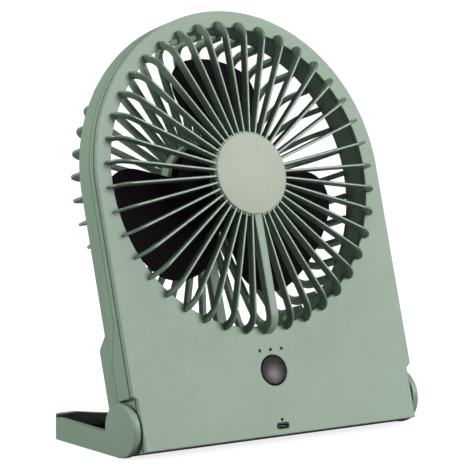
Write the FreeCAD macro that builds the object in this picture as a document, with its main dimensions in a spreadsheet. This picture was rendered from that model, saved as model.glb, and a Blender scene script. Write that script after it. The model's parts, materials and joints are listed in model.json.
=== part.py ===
import FreeCAD, Part
import math
import os
import Sketcher

V = FreeCAD.Vector
AXIS_X = V(1, 0, 0)
AXIS_Z = V(0, 0, 1)

os.makedirs("parts", exist_ok=True)
doc = FreeCAD.newDocument("camping_fan")
sheet = doc.addObject("Spreadsheet::Sheet", "dims")

# Driving sizes in millimetres and degrees. The head is drawn flat, seen from the front:
# x to the right, y up, z out towards the viewer, zero at the fan axis on the front face.
SIZES = [
    # head outline and face plate
    ("half_width", "85"),
    ("lower_step", "2.6"),
    ("pivot_below", "41.1"),
    ("pivot_round", "12.9"),
    ("shoulder_gap", "0.8"),
    ("plate_side", "0.7"),
    ("plate_notch", "1.4"),
    ("face_thickness", "2.5"),
    # front grille
    ("rib_count", "40"),
    ("dome_depth", "8.7"),
    ("dome_over", "3.3"),
    ("corner_sink", "0.9"),
    ("rib_depth", "4.5"),
    ("rib_front", "1.2"),
    ("rib_back", "1.8"),
    ("wide_rib_front", "3.5"),
    ("wide_rib_back", "4.1"),
    ("wide_rib_proud", "0.05"),
    ("hub_radius", "20.9"),
    ("hub_lip", "0.6"),
    ("cap_proud", "0.6"),
    ("cap_thickness", "1.2"),
    ("cap_round", "0.5"),
    ("cap_spigot", "6"),
    # housing
    ("wall", "2.2"),
    ("housing_depth", "16"),
    ("face_seam", "0.6"),
    ("seam_inset", "0.9"),
    ("split_upper", "6.5"),
    ("split_bend_top", "66"),
    ("split_run", "19"),
    ("split_gap", "0.2"),
    ("back_wall", "2"),
    ("duct_wall", "2"),
    # battery box on the back of the housing
    ("box_step", "5.25"),
    ("box_wall", "1.8"),
    ("box_rise", "11.5"),
    ("ramp_run", "14"),
    ("ramp_inset", "4"),
    # rear grille
    ("cage_over", "2.1"),
    ("cage_depth", "42"),
    ("cage_corner", "10"),
    ("cage_rib_depth", "4.6"),
    ("cage_rib_out", "1.5"),
    ("cage_rib_in", "2.6"),
    ("lead_rib_width", "5.6"),
    ("cage_ring_depth", "1.4"),
    ("ring_over", "3.3"),
    ("ring_gap", "0.3"),
    ("mount_radius", "24.5"),
    ("mount_height", "11"),
    ("mount_wall", "2.3"),
    ("mount_plate", "2"),
    # impeller
    ("tip_gap", "13.4"),
    ("blade_half_angle", "39"),
    ("blade_first", "82.5"),
    ("blade_count", "3"),
    ("blade_corner", "17"),
    ("blade_thickness", "1.6"),
    ("blade_rise", "11.027"),
    ("blade_clear", "1.173"),
    ("wheel_radius", "19.5"),
    ("wheel_front", "6"),
    ("wheel_clear", "1.5"),
    ("wheel_wall", "2"),
    ("wheel_round", "3"),
    ("wheel_gap", "0.6"),
    ("bore_boss", "4"),
    # motor
    ("motor_radius", "13.8"),
    ("motor_length", "12.9"),
    ("motor_wall", "0.9"),
    ("neck_radius", "3.6"),
    ("neck_length", "1.6"),
    ("cap_plate", "1.5"),
    ("armature_radius", "9.6"),
    ("armature_ahead", "2.5"),
    ("armature_behind", "3"),
    ("pole_count", "3"),
    ("slot_half", "1.2"),
    ("magnet_ahead", "0.6"),
    ("magnet_behind", "0.8"),
    ("magnet_slot", "2.5"),
    ("magnet_gap", "0.5"),
    ("magnet_fit", "0.06"),
    ("shaft_radius", "1"),
    ("shaft_tail", "0.2"),
    ("shaft_gap", "0.07"),
    ("motor_screw_pitch", "9"),
    ("bushing_radius", "2.6"),
    ("bushing_length", "3"),
    # motor leads
    ("lead_radius", "0.6"),
    ("lead_offset", "0.75"),
    ("lead_depth", "2.8"),
    ("lead_fit", "0.1"),
    ("lead_turn", "3"),
    ("lead_straight", "5"),
    ("lead_below", "5.9"),
    # foot
    ("pivot_depth", "13.5"),
    ("disc_radius", "13.4"),
    ("disc_round", "1"),
    ("arm_thickness", "3.5"),
    ("arm_height", "11"),
    ("foot_reach", "61"),
    ("bar_thickness", "3.7"),
    ("bar_end_height", "12.6"),
    ("bar_corner", "4.5"),
    ("dish_depth", "6"),
    ("dish_inset", "13"),
    ("strip_inset", "11"),
    ("strip_drop", "0.4"),
    ("strip_thickness", "1.6"),
    ("pin_radius", "2.5"),
    ("pin_length", "13"),
    ("pin_seat", "2.2"),
    ("pin_gap", "0.09"),
    ("boss_length", "10.4"),
    ("boss_wall", "2.6"),
    ("washer_radius", "6.5"),
    ("washer_thickness", "1.05"),
    ("washer_gap", "0.05"),
    ("tilt", "16.87"),
    # controls
    ("button_below", "21.7"),
    ("button_radius", "7.5"),
    ("button_gap", "0.25"),
    ("button_travel", "0.5"),
    ("button_dish", "30"),
    ("button_low", "0.9"),
    ("flange_over", "1.1"),
    ("flange_gap", "0.2"),
    ("flange_thickness", "0.8"),
    ("stem_radius", "2"),
    ("stem_gap", "0.25"),
    ("plunger_radius", "1.6"),
    ("plunger_gap", "0.3"),
    ("switch_half", "3.1"),
    ("switch_height", "2.4"),
    ("lamp_rise", "10.45"),
    ("lamp_pitch", "6.6"),
    ("lamp_radius", "0.55"),
    ("lamp_height", "0.8"),
    ("charge_lamp_rise", "3.15"),
    ("slot_rise", "4.35"),
    ("slot_width", "7.5"),
    ("slot_height", "3.1"),
    ("slot_gap", "0.15"),
    ("socket_front", "0.6"),
    ("socket_wall", "0.35"),
    ("tongue_half", "2.6"),
    ("tongue_thickness", "0.7"),
    # electronics
    ("board_front", "7"),
    ("board_thickness", "1.4"),
    ("board_half_width", "42"),
    ("board_over", "5.15"),
    ("board_gap", "0.2"),
    ("board_screw_side", "4"),
    ("board_screw_below", "3.5"),
    ("board_screw_rise", "4"),
    ("connector_half", "3"),
    ("connector_height", "4.6"),
    ("cell_radius", "9"),
    ("cell_end_gap", "3.75"),
    ("cell_middle_gap", "2"),
    ("cell_top_gap", "1.4"),
    ("cell_front_gap", "1.9"),
    ("cell_back_gap", "0.9"),
    ("cradle_in", "16.5"),
    ("cradle_out", "17.5"),
    ("cradle_thickness", "1.6"),
    ("tab_half", "3.5"),
    ("tab_thickness", "0.2"),
    # screws
    ("screw_radius", "1"),
    ("screw_head", "1.8"),
    ("screw_head_height", "1.3"),
    ("screw_boss", "2.1"),
    ("screw_fit", "0.1"),
    ("post_gap", "0.1"),
    ("boss_merge", "0.15"),
    ("ear_thickness", "1.2"),
    ("low_screw_side", "12"),
    ("low_screw_rise", "13.3"),
    ("heel_screw_side", "10"),
    ("heel_screw_below", "3.5"),
    ("heel_screw_seat", "9.3"),
    ("cage_screw_angle", "22.5"),
    # worked out from the sizes above: head, from the middle outwards
    ("opening_radius", "=half_width - wall - duct_wall - 2 * screw_boss - 2 * post_gap"),
    ("boss_ring", "=opening_radius + duct_wall + screw_boss + post_gap"),
    ("lower_half_width", "=half_width - lower_step"),
    ("box_half_width", "=half_width - box_step"),
    ("dome_radius", "=opening_radius + dome_over"),
    ("dome_corner", "=dome_depth + corner_sink"),
    ("dome_middle", "=dome_depth - rib_depth / 2"),
    ("dome_bend", "=dome_corner - rib_depth / 2"),
    ("cap_face", "=dome_depth + cap_proud"),
    ("cage_radius", "=opening_radius + cage_over"),
    ("cage_middle", "=cage_depth - cage_rib_depth / 2"),
    ("cage_bend", "=cage_corner - cage_rib_depth / 2"),
    ("cage_line", "=cage_radius - cage_rib_depth / 2"),
    ("cage_ring_radius", "=opening_radius + ring_over"),
    ("cage_recess", "=cage_ring_radius + ring_gap"),
    # down the head
    ("pivot_drop", "=opening_radius + pivot_below"),
    ("face_drop", "=pivot_drop + pivot_round"),
    ("shoulder_drop", "=pivot_drop - disc_radius - shoulder_gap"),
    ("face_side", "=shoulder_drop - plate_side"),
    ("face_notch", "=shoulder_drop + plate_notch"),
    ("button_drop", "=opening_radius + button_below"),
    ("lamp_drop", "=button_drop - lamp_rise"),
    ("slot_drop", "=face_drop - slot_rise"),
    ("charge_lamp_drop", "=slot_drop - charge_lamp_rise"),
    ("board_top", "=lamp_drop - board_over"),
    ("board_low", "=face_drop - wall - board_gap"),
    ("board_screw_x", "=board_half_width - board_screw_side"),
    ("board_screw_top", "=board_top + board_screw_below"),
    ("board_screw_low", "=board_low - board_screw_rise"),
    ("lead_end_drop", "=button_drop + lead_below"),
    ("low_screw_x", "=half_width - low_screw_side"),
    ("low_screw_y", "=shoulder_drop - low_screw_rise"),
    ("heel_screw_x", "=lower_half_width - boss_length - heel_screw_side"),
    ("heel_screw_y", "=pivot_drop + heel_screw_below"),
    # depths behind the front face
    ("split_lower", "=pivot_depth"),
    ("split_bend_low", "=split_bend_top + split_run"),
    ("ear_back", "=split_upper - split_gap"),
    ("ear_front", "=ear_back - ear_thickness"),
    ("button_flange", "=button_radius + flange_over"),
    ("button_back", "=face_thickness + flange_gap"),
    ("switch_front", "=board_front - switch_height"),
    ("stem_back", "=switch_front - button_travel - stem_gap"),
    ("plunger_back", "=board_front - button_travel - plunger_gap"),
    ("lamp_front", "=board_front - lamp_height"),
    ("connector_back", "=board_front + board_thickness + connector_height"),
    ("cell_length", "=low_screw_x - screw_boss - boss_merge - cell_end_gap - cell_middle_gap"),
    ("cell_offset", "=cell_middle_gap + cell_length / 2"),
    ("cell_drop", "=cage_recess + box_wall + cell_top_gap + cell_radius"),
    ("cell_depth", "=board_front + board_thickness + cell_front_gap + cell_radius"),
    ("cradle_inner", "=cell_offset - cradle_in"),
    ("cradle_outer", "=cell_offset + cradle_out"),
    ("box_depth", "=cell_depth + cell_radius + cell_back_gap + box_wall"),
    ("box_low", "=pivot_drop - box_rise"),
    ("box_ramp_low", "=cage_recess - ramp_inset"),
    ("box_ramp_top", "=box_ramp_low - ramp_run"),
    ("ramp_slope", "=ramp_run / (box_depth - housing_depth)"),
    ("ramp_shift", "=box_wall * sqrt(1 + ramp_slope ^ 2)"),
    ("heel_angle", "=atan2(box_depth - pivot_depth; pivot_drop - box_low)"
                   " + acos(pivot_round / sqrt((box_depth - pivot_depth) ^ 2"
                   " + (pivot_drop - box_low) ^ 2))"),
    ("heel_seat", "=pivot_depth + heel_screw_seat"),
    # motor and impeller, from the rear grille forwards
    ("mount_front", "=cage_depth - mount_height"),
    ("motor_back", "=cage_depth - mount_plate - neck_length"),
    ("motor_front", "=motor_back - motor_length"),
    ("motor_screw_seat", "=cage_depth - screw_head_height - screw_fit"),
    ("armature_front", "=motor_front + armature_ahead"),
    ("armature_back", "=motor_back - armature_behind"),
    ("magnet_front", "=armature_front - magnet_ahead"),
    ("magnet_back", "=armature_back + magnet_behind"),
    ("shaft_front", "=wheel_front + wheel_wall + screw_fit"),
    ("shaft_back", "=cage_depth - mount_plate - shaft_tail"),
    ("wheel_back", "=mount_front - wheel_clear"),
    ("bore_back", "=motor_front - neck_length - wheel_gap"),
    ("blade_tip", "=opening_radius - tip_gap"),
    ("blade_middle", "=mount_front - blade_clear - blade_rise - blade_thickness / 2"),
    ("blade_swing", "=asin(blade_corner / (blade_tip - blade_corner)) / 1 deg"),
    ("lead_groove", "=lead_offset + lead_radius + lead_fit"),
    ("lead_exit", "=cage_depth - cage_corner - lead_turn - lead_straight"),
    ("lead_bend", "=cage_corner - lead_depth"),
    ("lead_line", "=cage_radius - lead_depth"),
    # foot
    ("foot_inside", "=lower_half_width + washer_gap + washer_thickness"),
    ("foot_half_width", "=foot_inside + arm_thickness"),
    ("dish_half_chord", "=foot_half_width - dish_inset"),
    ("bar_middle_height", "=bar_end_height - dish_depth"),
    ("bar_dish", "=(dish_half_chord ^ 2 + dish_depth ^ 2) / (2 * dish_depth)"),
    ("strip_half_length", "=foot_half_width - strip_inset"),
    ("strip_height", "=bar_middle_height - strip_drop"),
    # place in the frame
    ("head_turn", "=90 - tilt"),
    ("pivot_height", "=disc_radius"),
    ("front_reach", "=pivot_round * sin(tilt) + pivot_depth * cos(tilt)"),
    ("rear_reach", "=(pivot_drop + cage_radius - cage_corner) * sin(tilt)"
                   " + (cage_depth - cage_corner - pivot_depth) * cos(tilt) + cage_corner"),
    ("pivot_y", "=(front_reach - rear_reach) / 2"),
    ("axis_y", "=pivot_y + pivot_drop * sin(tilt) - pivot_depth * cos(tilt)"),
    ("axis_height", "=pivot_height + pivot_drop * cos(tilt) + pivot_depth * sin(tilt)"),
]


def fill_sheet():
    for row, (alias, value) in enumerate(SIZES, start=1):
        sheet.set("A%d" % row, alias)
        sheet.setAlias("B%d" % row, alias)
    for row, (alias, value) in enumerate(SIZES, start=1):
        sheet.set("B%d" % row, value)
    doc.recompute()


def size(alias):
    """Number held in the cell with this alias."""
    value = getattr(sheet, alias)
    return float(getattr(value, "Value", value))


def bound(text):
    """Expression with the sheet's name put before each alias."""
    words = {alias for alias, value in SIZES}
    out = ""
    word = ""
    for letter in text + " ":
        if letter.isalnum() or letter == "_":
            word += letter
            continue
        out += ("dims." + word) if word in words else word
        out += letter
        word = ""
    return out.strip()


def number(holder, text):
    value = holder.evalExpression(bound(text))
    return float(getattr(value, "Value", value))


# sketches

def new_body(label):
    body = doc.addObject("PartDesign::Body", label)
    body.Label = label
    return body


def origin_part(body, role):
    """Plane or axis of the body's own origin."""
    for feature in body.Origin.OriginFeatures:
        if feature.Role == role:
            return feature


def sketch_on(body, role, offset="0"):
    """Sketch on one of the body's own planes: XY_Plane lies in the front face,
    XZ_Plane holds radius and depth, YZ_Plane holds height and depth."""
    sketch = body.newObject("Sketcher::SketchObject", "outline")
    sketch.AttachmentSupport = [(origin_part(body, role), "")]
    sketch.MapMode = "FlatFace"
    if offset != "0":
        sketch.setExpression(".AttachmentOffset.Base.z", bound(offset))
    return sketch


def pin_point(sketch, geometry, which, x, y):
    """Ties a point of the sketch to two expressions."""
    for kind, text in (("DistanceX", x), ("DistanceY", y)):
        value = number(sketch, text)
        index = sketch.addConstraint(Sketcher.Constraint(kind, -1, 1, geometry, which, value))
        sketch.setExpression("Constraints[%d]" % index, bound(text))


def arc_between(start, end, radius, turn):
    """Smaller arc from start to end; turn is 1 for left and -1 for right."""
    chord = end - start
    rise = math.sqrt(max(radius ** 2 - (chord.Length / 2) ** 2, 0))
    side = V(-chord.y, chord.x, 0).normalize() * turn
    centre = (start + end) / 2 + side * rise
    first, last = (start, end) if turn > 0 else (end, start)
    from_angle = math.atan2(first.y - centre.y, first.x - centre.x)
    to_angle = math.atan2(last.y - centre.y, last.x - centre.x)
    circle = Part.Circle(centre, AXIS_Z, radius)
    return Part.ArcOfCircle(circle, from_angle, to_angle)


def draw_path(sketch, corners, closed=True):
    """Lines and arcs through the corners. A corner is (x, y), or (x, y, radius, turn)
    where the stretch to the next corner is an arc."""
    spots = [V(number(sketch, c[0]), number(sketch, c[1]), 0) for c in corners]
    pieces = []
    stretches = len(corners) if closed else len(corners) - 1
    for i in range(stretches):
        start, end = spots[i], spots[(i + 1) % len(spots)]
        if len(corners[i]) == 2:
            index = sketch.addGeometry(Part.LineSegment(start, end))
            pieces.append((index, 1, 2))
        else:
            radius = number(sketch, corners[i][2])
            turn = corners[i][3]
            index = sketch.addGeometry(arc_between(start, end, radius, turn))
            row = sketch.addConstraint(Sketcher.Constraint("Radius", index, radius))
            sketch.setExpression("Constraints[%d]" % row, bound(corners[i][2]))
            pieces.append((index, 1, 2) if turn > 0 else (index, 2, 1))
        pin_point(sketch, index, pieces[-1][1], corners[i][0], corners[i][1])
    for i in range(stretches - 1):
        here, following = pieces[i], pieces[i + 1]
        sketch.addConstraint(
            Sketcher.Constraint("Coincident", here[0], here[2], following[0], following[1]))
    if closed:
        sketch.addConstraint(
            Sketcher.Constraint("Coincident", pieces[-1][0], pieces[-1][2],
                                pieces[0][0], pieces[0][1]))
    else:
        pin_point(sketch, pieces[-1][0], pieces[-1][2], corners[-1][0], corners[-1][1])


def draw_circle(sketch, x, y, radius):
    centre = V(number(sketch, x), number(sketch, y), 0)
    index = sketch.addGeometry(Part.Circle(centre, AXIS_Z, number(sketch, radius)))
    pin_point(sketch, index, 3, x, y)
    row = sketch.addConstraint(Sketcher.Constraint("Radius", index, number(sketch, radius)))
    sketch.setExpression("Constraints[%d]" % row, bound(radius))


def draw_box(sketch, left, low, right, top):
    draw_path(sketch, [(left, low), (right, low), (right, top), (left, top)])


# features

def pad(body, sketch, length, backward=False, both=False):
    feature = body.newObject("PartDesign::Pad", "pad")
    feature.Profile = sketch
    feature.setExpression("Length", bound(length))
    feature.Reversed = backward
    if both:
        feature.SideType = "Symmetric"
    return feature


def pocket(body, sketch, length, backward=False, both=False):
    """Cut going away from the viewer, or towards the viewer when backward is set."""
    feature = body.newObject("PartDesign::Pocket", "pocket")
    feature.Profile = sketch
    feature.setExpression("Length", bound(length))
    feature.Reversed = backward
    if both:
        feature.SideType = "Symmetric"
    return feature


def turn(body, corners, cut=False):
    """Ring or disc about the fan axis from corners given as (radius, depth)."""
    sketch = sketch_on(body, "XZ_Plane")
    draw_path(sketch, corners)
    kind = "PartDesign::Groove" if cut else "PartDesign::Revolution"
    feature = body.newObject(kind, "turned")
    feature.Profile = sketch
    feature.ReferenceAxis = (sketch, ["V_Axis"])
    feature.Angle = 360
    return feature


def pad_circles(body, offset, circles, length, backward=True):
    sketch = sketch_on(body, "XY_Plane", offset)
    for x, y, radius in circles:
        draw_circle(sketch, x, y, radius)
    return pad(body, sketch, length, backward)


def cut_circles(body, offset, circles, length, backward=False):
    sketch = sketch_on(body, "XY_Plane", offset)
    for x, y, radius in circles:
        draw_circle(sketch, x, y, radius)
    return pocket(body, sketch, length, backward)


def around_axis(body, features, count):
    pattern = body.newObject("PartDesign::PolarPattern", "around")
    pattern.Originals = features
    pattern.Axis = (origin_part(body, "Z_Axis"), [""])
    pattern.Angle = 360
    pattern.setExpression("Occurrences", bound(count))
    body.Tip = pattern
    return pattern


def place_in_head(piece, drop="0", turned=False):
    """Leans a piece of the head back about the foot's pivot. Drop is how far the piece's
    own zero lies below the fan axis; turned gives the angle the blades stop at."""
    lean = FreeCAD.Rotation(AXIS_X, size("head_turn"))
    piece.Placement = FreeCAD.Placement(V(0, 0, 0), lean)
    piece.setExpression(".Placement.Base.y", bound("axis_y - %s * sin(tilt)" % drop))
    piece.setExpression(".Placement.Base.z", bound("axis_height - %s * cos(tilt)" % drop))
    if turned:
        spin = FreeCAD.Rotation(AXIS_Z, size("blade_first"))
        piece.Placement = FreeCAD.Placement(V(0, 0, 0), lean.multiply(spin))
    else:
        piece.setExpression(".Placement.Rotation.Angle", bound("head_turn"))


def place_at_pivot(piece):
    """Sets a piece of the foot with its zero on the pivot, x along it, y back and z up."""
    piece.setExpression(".Placement.Base.y", bound("pivot_y"))
    piece.setExpression(".Placement.Base.z", bound("pivot_height"))


# outlines shared by the face plate and the housing

def draw_head_outline(sketch, inset="0", shoulder="shoulder_drop", notch="shoulder_drop"):
    """Round top, straight sides and the narrower lower part between the hinge discs."""
    side = "(half_width - %s)" % inset
    low = "(lower_half_width - %s)" % inset
    draw_path(sketch, [
        (side, "0", side, 1),
        ("0", side, side, 1),
        ("-" + side, "0"),
        ("-" + side, "-(%s - %s)" % (shoulder, inset)),
        ("-" + low, "-(%s + 0.01 - %s)" % (notch, inset)),
        ("-" + low, "-(face_drop - %s)" % inset),
        (low, "-(face_drop - %s)" % inset),
        (low, "-(%s + 0.01 - %s)" % (notch, inset)),
        (side, "-(%s - %s)" % (shoulder, inset)),
    ])


def ring_spots(angles, ring="boss_ring"):
    return [("%s * cos(%s)" % (ring, a), "%s * sin(%s)" % (ring, a)) for a in angles]


def long_screw_spots():
    """Places of the screws that hold face plate, front and rear housing together."""
    spots = ring_spots(["50", "130"])
    for x, y in (("low_screw_x", "low_screw_y"), ("heel_screw_x", "heel_screw_y")):
        spots.append((x, "-" + y))
        spots.append(("-" + x, "-" + y))
    return spots


def cage_screw_spots():
    return ring_spots(["cage_screw_angle", "(180 - cage_screw_angle)",
                       "(180 + cage_screw_angle)", "(360 - cage_screw_angle)"])


def with_radius(spots, radius):
    return [(x, y, radius) for x, y in spots]


# front of the head

def rib_path(body, corners, cut, section_corners, start, down):
    """Sweep of a section along a path of radius and depth, to the right of the fan axis
    or, when down is set, below it."""
    spine = sketch_on(body, "YZ_Plane" if down else "XZ_Plane")
    if down:
        corners = [("-(%s)" % c[0], c[1]) + ((c[2], -c[3]) if len(c) > 2 else ())
                   for c in corners]
    draw_path(spine, corners, closed=False)
    section = sketch_on(body, "XZ_Plane" if down else "YZ_Plane", start)
    draw_path(section, section_corners)
    kind = "PartDesign::SubtractivePipe" if cut else "PartDesign::AdditivePipe"
    pipe = body.newObject(kind, "swept")
    pipe.Profile = section
    pipe.Spine = (spine, [])
    return pipe


def strip_section(low_width, high_width, low, high):
    return [("-%s / 2" % low_width, low), ("%s / 2" % low_width, low),
            ("%s / 2" % high_width, high), ("-%s / 2" % high_width, high)]


def front_rib(body, front, back, proud="0", down=False):
    start = "(hub_radius + hub_lip / 4)"
    path = [(start, "dome_middle"),
            ("dome_radius - dome_corner", "dome_middle", "dome_bend", -1),
            ("dome_radius - rib_depth / 2", "dome_depth - dome_corner"),
            ("dome_radius - rib_depth / 2", "-face_thickness / 2")]
    section = strip_section(back, front, "dome_depth - rib_depth - " + proud,
                            "dome_depth + " + proud)
    return rib_path(body, path, False, section, start, down)


def draw_slot(sketch, half_length, half_height):
    """Rounded slot of the charging inlet."""
    flat = "(%s - %s)" % (half_length, half_height)
    low, top = "-slot_drop - %s" % half_height, "-slot_drop + %s" % half_height
    draw_path(sketch, [
        ("-" + flat, low), (flat, low, half_height, 1),
        (half_length, "-slot_drop", half_height, 1),
        (flat, top), ("-" + flat, top, half_height, 1),
        ("-" + half_length, "-slot_drop", half_height, 1),
    ])


def board_screw_spots():
    return [(side + "board_screw_x", drop) for side in ("", "-")
            for drop in ("-board_screw_top", "-board_screw_low")]


def lamp_spots():
    return [("-lamp_pitch", "-lamp_drop"), ("0", "-lamp_drop"), ("lamp_pitch", "-lamp_drop"),
            ("0", "-charge_lamp_drop")]


def build_front_panel():
    body = new_body("front_panel")
    plate = sketch_on(body, "XY_Plane")
    draw_head_outline(plate, "0", "face_side", "face_notch")
    pad(body, plate, "face_thickness", True)
    cut_circles(body, "0", [("0", "0", "opening_radius")], "face_thickness")
    cut_circles(body, "0", [("0", "-button_drop", "button_radius + button_gap")],
                "face_thickness")
    cut_circles(body, "0", with_radius(lamp_spots(), "lamp_radius"), "face_thickness")
    slot = sketch_on(body, "XY_Plane")
    draw_slot(slot, "slot_width / 2", "slot_height / 2")
    pocket(body, slot, "face_thickness")
    # disc behind the hub cap that the ribs run into
    turn(body, [("cap_spigot", "dome_depth - rib_depth - hub_lip"),
                ("hub_radius + hub_lip", "dome_depth - rib_depth - hub_lip"),
                ("hub_radius + hub_lip", "cap_face - cap_thickness"),
                ("cap_spigot", "cap_face - cap_thickness")])
    # screw posts on the back
    long_spots = with_radius(long_screw_spots(), "screw_boss")
    board_spots = with_radius(board_screw_spots(), "screw_boss")
    root = "face_thickness * 0.8"
    pad_circles(body, "-" + root, long_spots, "ear_front - " + root)
    pad_circles(body, "-" + root, board_spots, "board_front - " + root)
    holes = with_radius(long_screw_spots() + board_screw_spots(), "screw_radius")
    cut_circles(body, "-face_thickness - 0.4", holes, "board_front")
    front_rib(body, "wide_rib_front", "wide_rib_back", "wide_rib_proud", down=True)
    around_axis(body, [front_rib(body, "rib_front", "rib_back")], "rib_count")
    return body


def build_hub_cap():
    body = new_body("hub_cap")
    back = "cap_face - cap_thickness"
    turn(body, [("0", back + " - cap_spigot / 3"),
                ("cap_spigot - screw_fit", back + " - cap_spigot / 3"),
                ("cap_spigot - screw_fit", back), ("hub_radius", back),
                ("hub_radius", "cap_face - cap_round", "cap_round", 1),
                ("hub_radius - cap_round", "cap_face"), ("0", "cap_face")])
    return body


# housing

def split_line(gap):
    """Line between front and rear housing, as height and depth, from the top down."""
    return [("-split_bend_top", "-split_upper - " + gap),
            ("-split_bend_low", "-split_lower - " + gap)]


def build_front_housing():
    body = new_body("front_housing")
    front = "(face_thickness + face_seam)"
    wall_ring = sketch_on(body, "XY_Plane", "-" + front)
    draw_head_outline(wall_ring)
    draw_head_outline(wall_ring, "wall")
    pad(body, wall_ring, "split_lower - " + front, True)
    # everything behind the parting line belongs to the rear housing
    behind = sketch_on(body, "YZ_Plane")
    draw_path(behind, [("half_width + wall", "-split_upper")] + split_line("0")
              + [("-split_bend_low", "-housing_depth"), ("half_width + wall", "-housing_depth")])
    pocket(body, behind, "4 * half_width", both=True)
    # lip that leaves a dark seam round the face plate
    lip = sketch_on(body, "XY_Plane", "-face_thickness")
    draw_head_outline(lip, "seam_inset")
    draw_head_outline(lip, "wall")
    pad(body, lip, "face_seam", True)
    # ears that the long screws clamp
    for spot, side in zip(long_screw_spots(), ("", "", "", "-", "", "-")):
        ear = sketch_on(body, "XY_Plane", "-ear_front")
        x, y = spot
        if y == "-low_screw_y":
            edge = side + "(half_width - wall / 2)"
            draw_box(ear, x, y + " - screw_boss", edge, y + " + screw_boss")
        elif y == "-heel_screw_y":
            draw_box(ear, x + " - screw_boss", y, x + " + screw_boss", "-face_drop + wall / 2")
        else:
            draw_circle(ear, x.replace("boss_ring", "(boss_ring + 0.25)"),
                        y.replace("boss_ring", "(boss_ring + 0.25)"), "screw_boss")
        pad(body, ear, "ear_thickness", True)
    cut_circles(body, "-ear_front", with_radius(long_screw_spots(), "screw_radius + screw_fit"),
                "ear_thickness")
    # room for the hinge bosses of the rear housing
    notch = sketch_on(body, "YZ_Plane")
    draw_circle(notch, "-pivot_drop", "-pivot_depth",
                "pin_radius + pin_gap + boss_wall + 2 * boss_merge")
    pocket(body, notch, "4 * half_width", both=True)
    return body


def box_profile(inset, depth, front):
    """Side view of the battery box: ramp, flat back, heel and round bottom."""
    radius = "(pivot_round - %s)" % inset
    shift = "ramp_shift" if inset != "0" else "0"
    low = "-pivot_drop - sqrt(%s ^ 2 - split_gap ^ 2)" % radius
    return [("-(box_ramp_top + %s)" % shift, front),
            ("-(box_ramp_top + %s)" % shift, "-housing_depth"),
            ("-(box_ramp_top + %s + (%s - housing_depth) * ramp_slope)" % (shift, depth),
             "-" + depth),
            ("-box_low", "-" + depth),
            ("-pivot_drop + %s * cos(heel_angle)" % radius,
             "-pivot_depth - %s * sin(heel_angle)" % radius, radius, 1),
            (low, "-pivot_depth - split_gap")] + ([(low, front)] if inset != "0" else [])


def cut_hollow(body):
    shell = sketch_on(body, "XY_Plane", "-face_thickness")
    draw_head_outline(shell, "wall")
    pocket(body, shell, "housing_depth - face_thickness - back_wall")


def build_rear_housing():
    body = new_body("rear_housing")
    block = sketch_on(body, "XY_Plane", "-face_thickness")
    draw_head_outline(block)
    pad(body, block, "housing_depth - face_thickness", True)
    cut_hollow(body)
    # the front part of the wall belongs to the front housing
    ahead = sketch_on(body, "YZ_Plane")
    draw_path(ahead, [("half_width + wall", "wall"),
                      ("half_width + wall", "-split_upper - split_gap")]
              + split_line("split_gap")
              + [("-face_drop - wall", "-split_lower - split_gap"),
                 ("-face_drop - wall", "wall")])
    pocket(body, ahead, "4 * half_width", both=True)
    # battery box
    box = sketch_on(body, "YZ_Plane")
    draw_path(box, box_profile("0", "box_depth", "-split_lower - split_gap"))
    pad(body, box, "2 * box_half_width", both=True)
    inside = sketch_on(body, "YZ_Plane")
    draw_path(inside, box_profile("box_wall", "(box_depth - box_wall)",
                                  "-split_lower + split_gap"))
    pocket(body, inside, "2 * (box_half_width - box_wall)", both=True)
    # round duct, and the wall of the round recess that the cage sits in
    plate = "-(housing_depth - back_wall)"
    outer = "cage_recess + box_wall"
    turn(body, [("opening_radius", "-face_thickness - face_seam / 2"),
                ("opening_radius + duct_wall", "-face_thickness - face_seam / 2"),
                ("opening_radius + duct_wall", plate), (outer, plate),
                (outer, "-box_depth + split_gap"), ("cage_recess", "-box_depth + split_gap"),
                ("cage_recess", "-housing_depth"), ("opening_radius", "-housing_depth")])
    above = sketch_on(body, "YZ_Plane")
    draw_path(above, [("half_width + wall", "-housing_depth"),
                      ("-box_ramp_top", "-housing_depth"), ("-box_ramp_low", "-box_depth"),
                      ("-box_ramp_low", "-2 * box_depth"), ("half_width + wall", "-2 * box_depth")])
    pocket(body, above, "4 * half_width", both=True)
    cut_circles(body, "0", [("0", "0", "opening_radius")], "housing_depth + 1")
    cut_circles(body, "-housing_depth", [("0", "0", "cage_recess")], "box_depth")
    cut_lead_hole(body, "cage_recess + box_wall + 1", "cage_recess - 1",
                  "lead_exit + 2 * lead_radius")
    add_screw_posts(body)
    add_hinge_bosses(body)
    add_cradles(body)
    return body


def add_screw_posts(body):
    radius = "screw_boss + boss_merge"
    spots = long_screw_spots()
    reach = ["housing_depth - back_wall / 2", "box_depth - box_wall / 2",
             "heel_seat + screw_head_height + boss_merge"]
    for i, depth in enumerate(reach):
        pair = with_radius(spots[2 * i:2 * i + 2], radius)
        pad_circles(body, "-ear_back", pair, "%s - ear_back" % depth)
    pad_circles(body, "-housing_depth / 2", with_radius(cage_screw_spots(), radius),
                "housing_depth / 2 - back_wall / 2")
    clear = "screw_radius + screw_fit"
    cut_circles(body, "0", with_radius(spots, clear), "2 * box_depth")
    cut_circles(body, "-housing_depth / 2 - 1", with_radius(cage_screw_spots(), "screw_radius"),
                "housing_depth")
    for i, depth in enumerate(long_screw_seats()):
        pair = with_radius(spots[2 * i:2 * i + 2], "screw_head + screw_fit")
        cut_circles(body, "-(%s)" % depth, pair, "box_depth")


def long_screw_seats():
    """Depths that the heads of the three pairs of long screws rest at."""
    return ["housing_depth - screw_head_height - screw_fit",
            "box_depth - screw_head_height - screw_fit",
            "heel_seat"]


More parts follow.
